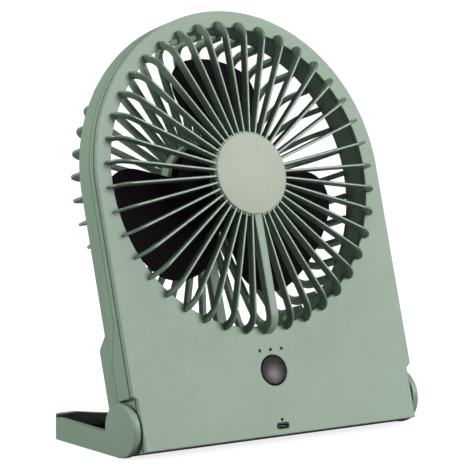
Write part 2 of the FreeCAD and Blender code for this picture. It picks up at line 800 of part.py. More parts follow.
def add_hinge_bosses(body):
    centre = ("-pivot_drop", "-pivot_depth")
    for side in ("lower_half_width - boss_length", "-lower_half_width"):
        boss = sketch_on(body, "YZ_Plane", side)
        draw_circle(boss, centre[0], centre[1], "pin_radius + pin_gap + boss_wall")
        pad(body, boss, "boss_length")
    for side, towards in (("lower_half_width + 1", False), ("-lower_half_width - 1", True)):
        bore = sketch_on(body, "YZ_Plane", side)
        draw_circle(bore, centre[0], centre[1], "pin_radius + pin_gap")
        pocket(body, bore, "boss_length + 2", backward=towards)


def add_cradles(body):
    """Thin ribs that carry the two battery cells."""
    for x in ("-cradle_outer", "-cradle_inner", "cradle_inner", "cradle_outer"):
        plate = sketch_on(body, "YZ_Plane", "%s - cradle_thickness / 2" % x)
        draw_box(plate, "-cell_drop - cell_radius", "-box_depth + box_wall / 2",
                 "-cell_drop + cell_radius * 0.8", "-cell_depth - cell_radius / 3")
        pad(body, plate, "cradle_thickness")
    seat = sketch_on(body, "YZ_Plane")
    draw_circle(seat, "-cell_drop", "-cell_depth", "cell_radius + screw_fit / 2")
    pocket(body, seat, "2 * cradle_outer + 4", both=True)


# rear cage

def cage_path(start, end):
    """Path of a rear rib, as radius and depth, from the motor mount to the housing."""
    return [(start, "-cage_middle"),
            ("cage_radius - cage_corner", "-cage_middle", "cage_bend", 1),
            ("cage_line", "-(cage_depth - cage_corner)"),
            ("cage_line", "-" + end)]


def build_rear_grille():
    body = new_body("rear_grille")
    back = "-(housing_depth + cage_ring_depth)"
    turn(body, [("opening_radius", "-housing_depth"), ("cage_ring_radius", "-housing_depth"),
                ("cage_ring_radius", back), ("opening_radius", back)])
    pad_circles(body, "-housing_depth", with_radius(cage_screw_spots(), "screw_boss"),
                "cage_ring_depth")
    # cup that carries the motor
    inside = "mount_radius - mount_wall"
    floor = "-(cage_depth - mount_plate)"
    turn(body, [("0", "-cage_depth"), ("mount_radius", "-cage_depth"),
                ("mount_radius", "-mount_front"), (inside, "-mount_front"),
                (inside, floor), ("0", floor)])
    start = "mount_radius - mount_wall / 2"
    narrow, wide = "cage_rib_out", "cage_rib_in"
    low, high = "-cage_depth", "-cage_depth + cage_rib_depth"
    path = cage_path(start, "housing_depth")
    rib_path(body, path, False, strip_section("lead_rib_width", "lead_rib_width", low, high),
             start, True)
    one = rib_path(body, path, False, strip_section(narrow, wide, low, high), start, False)
    around_axis(body, [one], "rib_count")
    cut_lead_groove(body)
    # stand-offs and holes for the motor screws
    spots = motor_screw_spots()
    pad_circles(body, "-motor_back", with_radius(spots, "screw_boss"),
                "cage_depth - mount_plate / 2 - motor_back")
    cut_circles(body, "-motor_back", with_radius(spots, "screw_radius + screw_fit"), "cage_depth")
    cut_circles(body, "-motor_screw_seat", with_radius(spots, "screw_head + screw_fit"),
                "cage_depth")
    cut_circles(body, "-housing_depth", with_radius(cage_screw_spots(),
                                                    "screw_radius + screw_fit"),
                "cage_ring_depth + 1")
    return body


def motor_screw_spots():
    return [("motor_screw_pitch", "0"), ("-motor_screw_pitch", "0")]


def cut_lead_hole(body, outer, inner, back):
    """Hole below the fan axis that the leads pass through on their way to the board."""
    hole = sketch_on(body, "YZ_Plane")
    draw_box(hole, "-(%s)" % outer, "-(%s)" % back,
             "-(%s)" % inner, "-(lead_exit - 2 * lead_radius)")
    pocket(body, hole, "2 * lead_groove", both=True)


def cut_lead_groove(body):
    """Groove along the inner side of the wide rib, and the hole that the leads leave by."""
    start = "mount_radius - 2 * mount_wall"
    depth = "(lead_depth - lead_radius / 2)"
    path = [(start, "-(cage_depth - %s)" % depth),
            ("cage_radius - cage_corner", "-(cage_depth - %s)" % depth,
             "cage_corner - %s" % depth, 1),
            ("cage_radius - %s" % depth, "-(cage_depth - cage_corner)"),
            ("cage_radius - %s" % depth, "-(lead_exit - 2 * lead_radius)")]
    section = strip_section("(2 * lead_groove)", "(2 * lead_groove)",
                            "-(cage_depth - lead_depth + lead_radius + 0.1)",
                            "-(cage_depth - cage_rib_depth - 0.5)")
    path = [(r, z) + tuple(rest) for r, z, *rest in path]
    rib_path(body, path, True, section, start, True)
    cut_lead_hole(body, "cage_recess", "lead_line", "lead_exit + lead_turn")


# impeller and motor

def corner_cutter(body, side):
    """Rounds one tip corner of the blade; side is an empty text or a minus sign."""
    half, swing = "blade_half_angle", "blade_swing"
    run = "((blade_tip - blade_corner) * cos(%s))" % swing

    def spot(radius, angle):
        return ("%s * cos(%s)" % (radius, angle), side + "%s * sin(%s)" % (radius, angle))
    inner, outer = "(%s - %s)" % (half, swing), "(%s + 12)" % half
    arc = ("blade_corner", 1 if side else -1)
    sketch = sketch_on(body, "XY_Plane")
    draw_path(sketch, [spot(run, half) + arc, spot("blade_tip", inner),
                       spot("(blade_tip + 9)", inner), spot("(blade_tip + 16)", outer),
                       spot(run, outer)])
    return pocket(body, sketch, "cage_depth")


def blade_section(body, radius):
    wide = "(%s * tan(blade_half_angle))" % radius
    half = "blade_thickness / 2"
    sketch = sketch_on(body, "YZ_Plane", radius)
    draw_path(sketch, [("-" + wide, "-blade_middle - blade_rise - " + half),
                       (wide, "-blade_middle + blade_rise - " + half),
                       (wide, "-blade_middle + blade_rise + " + half),
                       ("-" + wide, "-blade_middle - blade_rise + " + half)])
    return sketch


def build_impeller():
    body = new_body("impeller")
    inner = "wheel_radius - wheel_wall"
    in_wall = "wheel_radius - wheel_wall / 2"
    roof = "-wheel_front - wheel_wall"
    first = blade_section(body, "(wheel_radius * cos(blade_half_angle) - wheel_wall / 2)")
    last = blade_section(body, "(blade_tip + 1)")
    loft = body.newObject("PartDesign::AdditiveLoft", "blade")
    loft.Profile = first
    loft.Sections = [last]
    loft.Ruled = True
    cutters = [corner_cutter(body, ""), corner_cutter(body, "-")]
    around_axis(body, [loft] + cutters, "blade_count")
    # the blades end inside the wheel's wall and at the tip circle
    turn(body, [("0", roof), (in_wall, roof), (in_wall, "-wheel_back"), ("0", "-wheel_back")],
         cut=True)
    turn(body, [("blade_tip", "0"), ("2 * blade_tip", "0"),
                ("2 * blade_tip", "-cage_depth"), ("blade_tip", "-cage_depth")], cut=True)
    turn(body, [("0", "-wheel_front"), ("0", roof), ("shaft_radius", roof),
                ("shaft_radius", "-bore_back"), ("bore_boss", "-bore_back"),
                ("bore_boss", roof), (inner, roof), (inner, "-wheel_back"),
                ("wheel_radius", "-wheel_back"),
                ("wheel_radius", "-wheel_front - wheel_round", "wheel_round", 1),
                ("wheel_radius - wheel_round", "-wheel_front")])
    return body


def build_motor_shaft():
    body = new_body("motor_shaft")
    turn(body, [("0", "-shaft_front"), ("0", "-shaft_back"), ("shaft_radius", "-shaft_back"),
                ("shaft_radius", "-shaft_front")])
    return body


def build_motor_armature():
    body = new_body("motor_armature")
    front, back = "-armature_front", "-armature_back"
    turn(body, [("shaft_radius", front), ("shaft_radius", back),
                ("armature_radius", back), ("armature_radius", front)])
    slot = sketch_on(body, "XY_Plane", front)
    draw_box(slot, "armature_radius / 2", "-slot_half", "armature_radius + 1", "slot_half")
    cut = pocket(body, slot, "armature_back - armature_front")
    around_axis(body, [cut], "pole_count")
    return body


def build_motor_can():
    body = new_body("motor_can")
    inner = "motor_radius - motor_wall"
    neck = "-(motor_front - neck_length)"
    face = "-motor_front - motor_wall"
    turn(body, [("bushing_radius", neck), ("neck_radius", neck), ("neck_radius", "-motor_front"),
                ("motor_radius", "-motor_front"), ("motor_radius", "-motor_back"),
                (inner, "-motor_back"), (inner, face), ("bushing_radius", face)])
    return body


def build_motor_end_cap():
    body = new_body("motor_end_cap")
    inner = "motor_radius - motor_wall"
    tip = "-motor_back - neck_length"
    turn(body, [("bushing_radius", "-motor_back + cap_plate"), (inner, "-motor_back + cap_plate"),
                (inner, "-motor_back"), ("neck_radius", "-motor_back"), ("neck_radius", tip),
                ("bushing_radius", tip)])
    cut_circles(body, "0", with_radius(motor_screw_spots(), "screw_radius"), "cage_depth")
    return body


def build_motor_magnets():
    body = new_body("motor_magnets")
    inner, outer = "armature_radius + magnet_gap", "motor_radius - motor_wall - magnet_fit"
    front, back = "-magnet_front", "-magnet_back"
    turn(body, [(inner, front), (outer, front), (outer, back), (inner, back)])
    gap = sketch_on(body, "XY_Plane", "0")
    draw_box(gap, "-motor_radius", "-magnet_slot", "motor_radius", "magnet_slot")
    pocket(body, gap, "cage_depth")
    return body


def build_motor_bushings():
    body = new_body("motor_bushings")
    bore = "shaft_radius + shaft_gap"
    neck = "(motor_front - neck_length)"
    tail = "(motor_back + neck_length)"
    for front, back in ((neck, neck + " + bushing_length"), (tail + " - bushing_length", tail)):
        turn(body, [(bore, "-(%s)" % front), ("bushing_radius", "-(%s)" % front),
                    ("bushing_radius", "-(%s)" % back), (bore, "-(%s)" % back)])
    return body


def build_motor_leads():
    body = new_body("motor_leads")
    line = "-(cage_depth - lead_depth)"
    out = "(lead_exit + lead_turn)"
    path = [("-motor_screw_pitch", line),
            ("-(cage_radius - cage_corner)", line, "lead_bend", -1),
            ("-lead_line", "-(cage_depth - cage_corner)"),
            ("-lead_line", "-" + out, "lead_turn", 1),
            ("-lead_line - lead_turn", "-lead_exit"),
            ("-lead_end_drop + lead_turn", "-lead_exit", "lead_turn", -1),
            ("-lead_end_drop", "-lead_exit + lead_turn"),
            ("-lead_end_drop", "-connector_back")]
    for side in ("-lead_offset", "lead_offset"):
        spine = sketch_on(body, "YZ_Plane", side)
        draw_path(spine, path, closed=False)
        section = sketch_on(body, "XZ_Plane", "motor_screw_pitch")
        draw_circle(section, side, line, "lead_radius")
        pipe = body.newObject("PartDesign::AdditivePipe", "lead")
        pipe.Profile = section
        pipe.Spine = (spine, [])
    return body


# foot, drawn from the pivot: x along it, y towards the back, z up

def build_foot_frame():
    body = new_body("foot_frame")
    for side, ahead in (("foot_inside", False), ("-foot_inside", True)):
        disc = sketch_on(body, "YZ_Plane", side)
        draw_circle(disc, "0", "0", "disc_radius")
        pad(body, disc, "arm_thickness", ahead)
        round_disc(body)
    for side, ahead in (("foot_inside", False), ("-foot_inside", True)):
        arm = sketch_on(body, "YZ_Plane", side)
        draw_box(arm, "0", "-disc_radius", "foot_reach", "arm_height - disc_radius")
        pad(body, arm, "arm_thickness", ahead)
    bar = sketch_on(body, "XZ_Plane", "-foot_reach")
    low, top, middle = "-disc_radius", "bar_end_height - disc_radius", "bar_middle_height"
    draw_path(bar, [("-foot_half_width", low), ("foot_half_width", low),
                    ("foot_half_width", top), ("dish_half_chord", top, "bar_dish", -1),
                    ("0", middle + " - disc_radius", "bar_dish", -1),
                    ("-dish_half_chord", top), ("-foot_half_width", top)])
    pad(body, bar, "bar_thickness")
    # round the two rear corners
    for side, bend in (("", 1), ("-", -1)):
        corner = sketch_on(body, "XY_Plane", "-2 * disc_radius")
        inner_x = side + "(foot_half_width - bar_corner)"
        outer_x = side + "(foot_half_width + 1)"
        draw_path(corner, [(side + "foot_half_width", "foot_reach - bar_corner",
                            "bar_corner", bend),
                           (inner_x, "foot_reach"), (inner_x, "foot_reach + 1"),
                           (outer_x, "foot_reach + 1"), (outer_x, "foot_reach - bar_corner")])
        pocket(body, corner, "4 * disc_radius", backward=True)
    # blind holes for the hinge pins
    for side, towards in (("foot_inside", True), ("-foot_inside", False)):
        hole = sketch_on(body, "YZ_Plane", side)
        draw_circle(hole, "0", "0", "pin_radius")
        pocket(body, hole, "pin_seat", backward=towards)
    return body


def round_disc(body):
    """Rounds the outer rim of the hinge disc added last."""
    doc.recompute()
    disc = body.Tip
    names = []
    for i, edge in enumerate(disc.Shape.Edges, start=1):
        box = edge.BoundBox
        if abs(abs(box.XMin) - size("foot_half_width")) < 0.01 and box.XLength < 0.01:
            if (box.XMin > 0) == (disc.Profile[0].AttachmentOffset.Base.z > 0):
                names.append("Edge%d" % i)
    fillet = body.newObject("PartDesign::Fillet", "rim")
    fillet.Base = (disc, names)
    fillet.setExpression("Radius", bound("disc_round"))
    doc.recompute()


def build_hinge_pins():
    body = new_body("hinge_pins")
    for side in ("foot_inside + pin_seat - pin_length", "-foot_inside - pin_seat"):
        pin = sketch_on(body, "YZ_Plane", side)
        draw_circle(pin, "0", "0", "pin_radius")
        pad(body, pin, "pin_length")
    return body


def build_friction_washers():
    body = new_body("friction_washers")
    for side in ("foot_inside - washer_thickness", "-foot_inside"):
        ring = sketch_on(body, "YZ_Plane", side)
        draw_circle(ring, "0", "0", "washer_radius")
        draw_circle(ring, "0", "0", "pin_radius")
        pad(body, ring, "washer_thickness")
    return body


def build_rear_strip():
    body = new_body("rear_strip")
    inner = "foot_reach - bar_thickness"
    strip = sketch_on(body, "XY_Plane", "-disc_radius")
    draw_box(strip, "-strip_half_length", inner + " - strip_thickness",
             "strip_half_length", inner)
    pad(body, strip, "strip_height")
    return body


# button, lamps, inlet and electronics

def build_power_button():
    """Dished cap on its own axis, with a flange behind the face plate and a stem."""
    body = new_body("power_button")
    bowl = "(button_radius - 2 * cap_round)"
    flange = "-button_back - flange_thickness"
    turn(body, [("0", "-button_low", "button_dish", 1),
                (bowl, "button_dish - button_low - sqrt(button_dish ^ 2 - %s ^ 2)" % bowl),
                ("button_radius - cap_round", "0"), ("button_radius", "-cap_round"),
                ("button_radius", "-button_back"), ("button_flange", "-button_back"),
                ("button_flange", flange), ("stem_radius", flange),
                ("stem_radius", "-stem_back"), ("0", "-stem_back")])
    return body


def build_switch_plunger():
    body = new_body("switch_plunger")
    pad_circles(body, "-stem_back", [("0", "-button_drop", "plunger_radius")],
                "plunger_back - stem_back")
    return body


def build_tact_switch():
    body = new_body("tact_switch")
    square = sketch_on(body, "XY_Plane", "-board_front")
    draw_box(square, "-switch_half", "-button_drop - switch_half",
             "switch_half", "-button_drop + switch_half")
    draw_circle(square, "0", "-button_drop", "plunger_radius + screw_fit")
    pad(body, square, "board_front - switch_front")
    return body


def build_light_pipes():
    body = new_body("light_pipes")
    pad_circles(body, "-screw_fit", with_radius(lamp_spots(), "lamp_radius - 0.05"),
                "lamp_front - 2 * screw_fit")
    pad_circles(body, "-face_thickness", with_radius(lamp_spots(), "2 * lamp_radius"),
                "face_seam + screw_fit")
    return body


def build_indicator_lamps():
    body = new_body("indicator_lamps")
    chips = sketch_on(body, "XY_Plane", "-board_front")
    for x, y in lamp_spots():
        draw_box(chips, x + " - 2 * lamp_radius", y + " - lamp_radius",
                 x + " + 2 * lamp_radius", y + " + lamp_radius")
    pad(body, chips, "board_front - lamp_front")
    return body


def build_usb_socket():
    body = new_body("usb_socket")
    long, short = "(slot_width / 2 - slot_gap)", "(slot_height / 2 - slot_gap)"
    shell = sketch_on(body, "XY_Plane", "-socket_front")
    draw_slot(shell, long, short)
    pad(body, shell, "board_front - socket_front", True)
    inside = sketch_on(body, "XY_Plane", "-socket_front")
    draw_slot(inside, "(%s - socket_wall)" % long, "(%s - socket_wall)" % short)
    pocket(body, inside, "board_front - 3 * socket_front")
    tongue = sketch_on(body, "XY_Plane", "-board_front + socket_front")
    draw_box(tongue, "-tongue_half", "-slot_drop - tongue_thickness / 2",
             "tongue_half", "-slot_drop + tongue_thickness / 2")
    pad(body, tongue, "board_front - 3 * socket_front")
    return body


def build_main_board():
    body = new_body("main_board")
    plate = sketch_on(body, "XY_Plane", "-board_front")
    draw_box(plate, "-board_half_width", "-board_low", "board_half_width", "-board_top")
    for x, y in board_screw_spots():
        draw_circle(plate, x, y, "screw_radius + screw_fit")
    pad(body, plate, "board_thickness", True)
    return body


def build_board_connector():
    body = new_body("board_connector")
    block = sketch_on(body, "XY_Plane", "-board_front - board_thickness")
    draw_box(block, "-connector_half", "-lead_end_drop - connector_half",
             "connector_half", "-lead_end_drop + connector_half")
    pad(body, block, "connector_back - board_front - board_thickness", True)
    return body


def build_battery_cells():
    body = new_body("battery_cells")
    for side in ("cell_offset - cell_length / 2", "-cell_offset - cell_length / 2"):
        end = sketch_on(body, "YZ_Plane", side)
        draw_circle(end, "-cell_drop", "-cell_depth", "cell_radius")
        pad(body, end, "cell_length")
    return body


def build_cell_tabs():
    body = new_body("cell_tabs")
    ends = ["cell_offset + cell_length / 2", "cell_offset - cell_length / 2 - tab_thickness",
            "-cell_offset - cell_length / 2 - tab_thickness", "-cell_offset + cell_length / 2"]
    for x in ends:
        tab = sketch_on(body, "YZ_Plane", x)
        draw_box(tab, "-cell_drop - tab_half", "-cell_depth - tab_half",
                 "-cell_drop + tab_half", "-cell_depth + tab_half")
        pad(body, tab, "tab_thickness")
    return body


# screws

def add_screws(body, spots, tip, seat):
    """Screws along the fan axis with their tips in front and heads behind."""
    pad_circles(body, "-(%s)" % tip, with_radius(spots, "screw_radius"), "%s - %s" % (seat, tip))
    pad_circles(body, "-(%s)" % seat, with_radius(spots, "screw_head"), "screw_head_height")


def build_housing_screws():
    body = new_body("housing_screws")
    for i, seat in enumerate(long_screw_seats()):
        add_screws(body, long_screw_spots()[2 * i:2 * i + 2], "(face_thickness + 0.5)",
                   "(%s)" % seat)
    return body


def build_grille_screws():
    body = new_body("grille_screws")
    add_screws(body, cage_screw_spots(), "(housing_depth / 2 + 1.5)",
               "(housing_depth + cage_ring_depth)")
    return body


def build_board_screws():
    body = new_body("board_screws")
    add_screws(body, board_screw_spots(), "(face_thickness + 0.5)",
               "(board_front + board_thickness)")
    return body


def build_motor_screws():
    body = new_body("motor_screws")
    add_screws(body, motor_screw_spots(), "(motor_back - cap_plate + 0.3)", "motor_screw_seat")
    return body


# assembly

def report_problems(piece):
    """Stops the build at the first object that did not come out right."""
    for part in list(piece.Group) + [piece]:
        if "Invalid" in part.State or "Error" in part.State:
            raise RuntimeError("%s in %s did not compute" % (part.Name, piece.Label))
    if piece.Shape.isNull() or not piece.Shape.isValid():
        raise RuntimeError("%s has no sound shape" % piece.Label)


HEAD_PIECES = [
    build_front_panel, build_hub_cap, build_front_housing, build_rear_housing,
    build_rear_grille, build_motor_can, build_motor_end_cap, build_motor_magnets,
    build_motor_bushings, build_motor_leads, build_motor_screws, build_switch_plunger,
    build_tact_switch, build_light_pipes, build_indicator_lamps, build_usb_socket,
    build_main_board, build_board_connector, build_battery_cells, build_cell_tabs,
    build_housing_screws, build_grille_screws, build_board_screws,
]
SPINNING_PIECES = [build_impeller, build_motor_shaft, build_motor_armature]
FOOT_PIECES = [build_foot_frame, build_hinge_pins, build_friction_washers, build_rear_strip]


def build_all():
    fill_sheet()
    pieces = []
    for build in HEAD_PIECES:
        pieces.append(build())
        place_in_head(pieces[-1])
    for build in SPINNING_PIECES:
        pieces.append(build())
        place_in_head(pieces[-1], turned=True)
    for build in FOOT_PIECES:
        pieces.append(build())
        place_at_pivot(pieces[-1])
    pieces.append(build_power_button())
    place_in_head(pieces[-1], drop="button_drop")
    doc.recompute()
    for piece in pieces:
        report_problems(piece)
        piece.Shape.exportStep("parts/%s.step" % piece.Label)


build_all()
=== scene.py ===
import json
import math
import bmesh
import bpy
from mathutils import Matrix, Vector


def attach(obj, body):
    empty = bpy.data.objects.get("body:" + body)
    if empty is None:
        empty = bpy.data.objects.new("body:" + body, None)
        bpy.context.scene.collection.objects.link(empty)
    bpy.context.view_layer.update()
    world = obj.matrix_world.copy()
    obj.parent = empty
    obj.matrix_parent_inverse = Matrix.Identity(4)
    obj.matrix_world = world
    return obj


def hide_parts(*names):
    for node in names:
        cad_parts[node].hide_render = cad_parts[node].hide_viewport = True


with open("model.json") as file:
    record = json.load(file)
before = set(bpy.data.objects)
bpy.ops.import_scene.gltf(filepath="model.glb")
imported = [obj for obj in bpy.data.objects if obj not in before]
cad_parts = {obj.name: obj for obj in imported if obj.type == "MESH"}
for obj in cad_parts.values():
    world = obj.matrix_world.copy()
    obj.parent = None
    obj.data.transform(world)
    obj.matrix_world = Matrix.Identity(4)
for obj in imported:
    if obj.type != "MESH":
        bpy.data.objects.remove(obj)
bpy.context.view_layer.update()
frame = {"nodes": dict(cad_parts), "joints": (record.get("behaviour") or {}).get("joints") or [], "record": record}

MM = 0.001
nodes = frame["nodes"]
joints = {joint["name"]: joint for joint in frame["joints"]}

# The head is drawn flat, seen from the front: x right, y up, z out of the face,
# in millimetres from the fan axis. HEAD sets it in the frame, leaning back.
fan_axis = Vector(joints["rotor_spin"]["axis"]).normalized()
fan_centre = Vector(joints["rotor_spin"]["pos_m"])
right = Vector((1, 0, 0))
up = fan_axis.cross(right)
HEAD = Matrix.Translation(fan_centre) @ Matrix(
    (right, up, fan_axis)).transposed().to_4x4() @ Matrix.Scale(MM, 4)

# face plate, in millimetres
HALF_WIDTH = 85.0
LOWER_HALF_WIDTH = 82.4
FACE_SIDE = -102.6
FACE_NOTCH = -104.7
FACE_LOW = -130.4
FACE_THICKNESS = 2.5
PLATE_ROUND = 0.45
OPENING = 76.4

# button, lamps and charging slot in the face plate
BUTTON_Y = -98.1
BUTTON_HOLE = 7.75
BUTTON_RADIUS = 7.5
LAMP_Y = -87.65
LAMP_PITCH = 6.6
LAMP_HOLE = 0.65
CHARGE_LAMP_Y = -122.9
SLOT_Y = -126.05
SLOT_WIDTH = 7.5
SLOT_HEIGHT = 3.1

# front grille
RIBS = 40
LOWEST_RIB = 270
HUB_RADIUS = 20.9
HUB_RIM = 8.1
DOME_DEPTH = 8.7
DOME_RADIUS = 79.7
DOME_CORNER = 9.6
RIB_DEPTH = 4.5

# rear cage and the motor mount in its middle
CAGE_DEPTH = 42.0
CAGE_RADIUS = 78.5
CAGE_CORNER = 10.0
CAGE_RIB_DEPTH = 4.6
CAGE_RIB_ROUND = 0.45
CAGE_RING_RADIUS = 79.7
CAGE_RING_DEPTH = 1.4
HOUSING_DEPTH = 16.0
MOUNT_INNER = 22.2
MOUNT_OUTER = 24.5
MOUNT_FRONT = -31
MOUNT_FLOOR = -40

# blades of the impeller
BLADE_BEND = 36.0
BLADE_TIP = 63.0
TIP_REACH = 1.6
TIP_RAKE = 3.0


# camera, lamps and floor

def add_camera():
    """Long lens at the photograph's angle, level with the upper part of the fan."""
    data = bpy.data.cameras.new("camera")
    data.lens = 257.4
    data.sensor_width = 36
    data.clip_end = 20
    camera = bpy.data.objects.new("camera", data)
    bpy.context.scene.collection.objects.link(camera)
    side = Vector((0.81657, -0.57724, 0.00388))
    ahead = Vector((0.57247, 0.80894, -0.13383))
    above = Vector((0.07411, 0.11150, 0.99101))
    place = fan_centre + Vector((-965.93, -1359.37, 195.81)) * MM
    turn = Matrix((side, above, -ahead)).transposed().to_4x4()
    camera.matrix_world = Matrix.Translation(place) @ turn
    bpy.context.scene.camera = camera


def add_lamp(name, place, size, power, kind="AREA"):
    """Square soft lamp, or an even light from far away with its size as an angle."""
    data = bpy.data.lights.new(name, kind)
    if kind == "SUN":
        data.angle = size
    else:
        data.shape = "SQUARE"
        data.size = size
    data.energy = power
    lamp = bpy.data.objects.new(name, data)
    bpy.context.scene.collection.objects.link(lamp)
    middle_of_fan = Vector((0, 0, 0.11))
    lamp.location = place
    aim = middle_of_fan - Vector(place)
    lamp.rotation_euler = aim.to_track_quat("-Z", "Y").to_euler()


def map_range(tree, source, low, high):
    """Node that turns a value from 0 to 1 into one from low to high."""
    node = tree.nodes.new("ShaderNodeMapRange")
    node.inputs["To Min"].default_value = low
    node.inputs["To Max"].default_value = high
    tree.links.new(source, node.inputs["Value"])
    return node.outputs["Result"]


def add_studio():
    """Key lamp mirrored in the face, a soft top light and a lamp for the left side."""
    add_lamp("key", (1.0, -1.4, 0.85), 0.8, 36)
    add_lamp("top", (0.1, 0.3, 1.9), 0.4, 2.0, "SUN")
    add_lamp("side", (-1.6, 0.2, 0.75), 0.6, 24)
    world = bpy.data.worlds.new("studio")
    bpy.context.scene.world = world
    world.use_nodes = True
    tree = world.node_tree
    background = tree.nodes["Background"]
    light_path = tree.nodes.new("ShaderNodeLightPath")
    seen = tree.nodes.new("ShaderNodeMath")
    seen.operation = "MAXIMUM"
    tree.links.new(light_path.outputs["Is Camera Ray"], seen.inputs[0])
    tree.links.new(light_path.outputs["Is Transmission Ray"], seen.inputs[1])
    background.inputs["Color"].default_value = (1, 1, 1, 1)
    lighting, backdrop = 0.02, 1.0
    level = map_range(tree, seen.outputs[0], lighting, backdrop)
    tree.links.new(level, background.inputs["Strength"])


def add_floor():
    """White floor that keeps the fan's shadow: pale to the camera, and darker for the light
    that it throws back at the fan."""
    reach = 4.0
    glow_share, glow_strength = 0.6, 1.37
    thrown_back, pale = 0.22, 0.9
    mesh = bpy.data.meshes.new("floor")
    mesh.from_pydata([(-reach, -reach, 0), (reach, -reach, 0), (reach, reach, 0),
                      (-reach, reach, 0)], [], [(0, 1, 2, 3)])
    floor = bpy.data.objects.new("floor", mesh)
    bpy.context.scene.collection.objects.link(floor)
    material = bpy.data.materials.new("pale_floor")
    material.use_nodes = True
    tree = material.node_tree
    shader = tree.nodes["Principled BSDF"]
    shader.inputs["Roughness"].default_value = 0.9
    seen = tree.nodes.new("ShaderNodeLightPath").outputs["Is Camera Ray"]
    tree.links.new(map_range(tree, seen, thrown_back, pale), shader.inputs["Base Color"])
    glow = tree.nodes.new("ShaderNodeEmission")
    glow.inputs["Strength"].default_value = glow_strength
    mix = tree.nodes.new("ShaderNodeMixShader")
    tree.links.new(map_range(tree, seen, 0, glow_share), mix.inputs["Fac"])
    tree.links.new(shader.outputs[0], mix.inputs[1])
    tree.links.new(glow.outputs[0], mix.inputs[2])
    tree.links.new(mix.outputs[0], tree.nodes["Material Output"].inputs["Surface"])
    mesh.materials.append(material)


# materials

def noise(tree, scale, detail):
    place = tree.nodes.new("ShaderNodeTexCoord")
    node = tree.nodes.new("ShaderNodeTexNoise")
    node.inputs["Scale"].default_value = scale
    node.inputs["Detail"].default_value = detail
    tree.links.new(place.outputs["Object"], node.inputs["Vector"])
    return node.outputs["Fac"]


def moulded(name, colour, roughness, grain, spread=0.03, grain_scale=3500, metallic=0.0,
            specular=0.5):
    """Moulded or rolled surface: slight drift of colour, uneven gloss and a fine grain."""
    drift_scale, gloss_scale = 38, 420
    uneven = 0.05
    grain_height = 0.00012
    material = bpy.data.materials.new(name)
    material.use_nodes = True
    tree = material.node_tree
    shader = tree.nodes["Principled BSDF"]
    shader.inputs["Metallic"].default_value = metallic
    shader.inputs["Specular IOR Level"].default_value = specular
    ramp = tree.nodes.new("ShaderNodeValToRGB")
    low, high = ramp.color_ramp.elements
    low.color = (*[max(part * (1 - spread), 0) for part in colour], 1)
    high.color = (*[min(part * (1 + spread), 1) for part in colour], 1)
    low.position = 0.35
    high.position = 0.65
    tree.links.new(noise(tree, drift_scale, 3), ramp.inputs["Fac"])
    tree.links.new(ramp.outputs["Color"], shader.inputs["Base Color"])
    gloss = map_range(tree, noise(tree, gloss_scale, 2), roughness - uneven, roughness + uneven)
    tree.links.new(gloss, shader.inputs["Roughness"])
    bump = tree.nodes.new("ShaderNodeBump")
    bump.inputs["Strength"].default_value = grain
    bump.inputs["Distance"].default_value = grain_height
    tree.links.new(noise(tree, grain_scale, 2), bump.inputs["Height"])
    tree.links.new(bump.outputs["Normal"], shader.inputs["Normal"])
    return material


def make_materials():
    """One material for each slot of the record, and a few shades of them; some of these carry painted shade or a
    painted highlight in their colour.
    """
    return {
        "body_plastic": moulded("sage_plastic", (0.20, 0.285, 0.21), 0.50, 0.30),
        # Darker copy of the sage plastic for the narrow front ribs: painted shade between the ribs, with a lower
        # roughness for sharper highlights on their edges.
        "rib_plastic_painted_shade": moulded("sage_plastic_painted_shade", (0.12, 0.18, 0.13), 0.30, 0.12),
        # Cream colour for the thin band on the motor mount's rim: a painted highlight.
        "rim_painted_highlight": moulded("cream_painted_highlight", (0.66, 0.66, 0.47), 0.45, 0.2),
        "cap_plastic": moulded("pale_plastic", (0.285, 0.335, 0.25), 0.48, 0.22),
        "dark_plastic": moulded("black_plastic", (0.008, 0.006, 0.007), 0.55, 0.25, 0.10,
                                specular=0.03),
        "button_plastic": moulded("grey_plastic", (0.022, 0.019, 0.020), 0.38, 0.35, 0.10,
                                  specular=0.32),
        "strip_rubber": moulded("black_rubber", (0.010, 0.010, 0.010), 0.7, 0.6, 0.15, 2200),
        "steel": moulded("plated_steel", (0.62, 0.62, 0.63), 0.30, 0.20, 0.04, 1500, 1.0),
        "laminated_steel": moulded("steel_stampings", (0.40, 0.40, 0.41), 0.45, 0.5, 0.1,
                                   900, 1.0),
        "magnet": moulded("sintered_magnet", (0.05, 0.05, 0.055), 0.6, 0.5, 0.1, 1800),
        "bronze": moulded("sintered_bronze", (0.50, 0.32, 0.14), 0.4, 0.5, 0.1, 2600, 1.0),
        "washer_plastic": moulded("natural_nylon", (0.72, 0.71, 0.66), 0.45, 0.2),
        "board": moulded("solder_mask", (0.02, 0.12, 0.04), 0.3, 0.3, 0.12, 1200),
        "lamp": moulded("lamp_lens", (0.75, 0.76, 0.70), 0.2, 0.1),
        "clear_plastic": moulded("light_guide", (0.012, 0.014, 0.012), 0.6, 0.1, specular=0.05),
        # Near-black metal for the charging socket: painted shade of the slot that it sits in.
        "inlet_shell_painted_shade": moulded("nickel_painted_shade", (0.030, 0.031, 0.030), 0.5, 0.2, 0.06, 1500, 1.0),
        "cell_wrap": moulded("cell_sleeve", (0.03, 0.13, 0.30), 0.25, 0.15, 0.06),
        "lead_cover": moulded("lead_cover", (0.30, 0.012, 0.012), 0.35, 0.15, 0.08),
    }


materials = make_materials()


# mesh helpers

def add_piece(name, mesh, body, replaced, slot, material=None, sharp=32):
    """Makes an object of a mesh that is already in its place in the frame."""
    mesh.materials.clear()
    mesh.materials.append(materials[material or slot])
    mesh.shade_smooth()
    mesh.set_sharp_from_angle(angle=math.radians(sharp))
    piece = bpy.data.objects.new(name, mesh)
    bpy.context.scene.collection.objects.link(piece)
    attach(piece, body)
    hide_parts(replaced)
    return piece


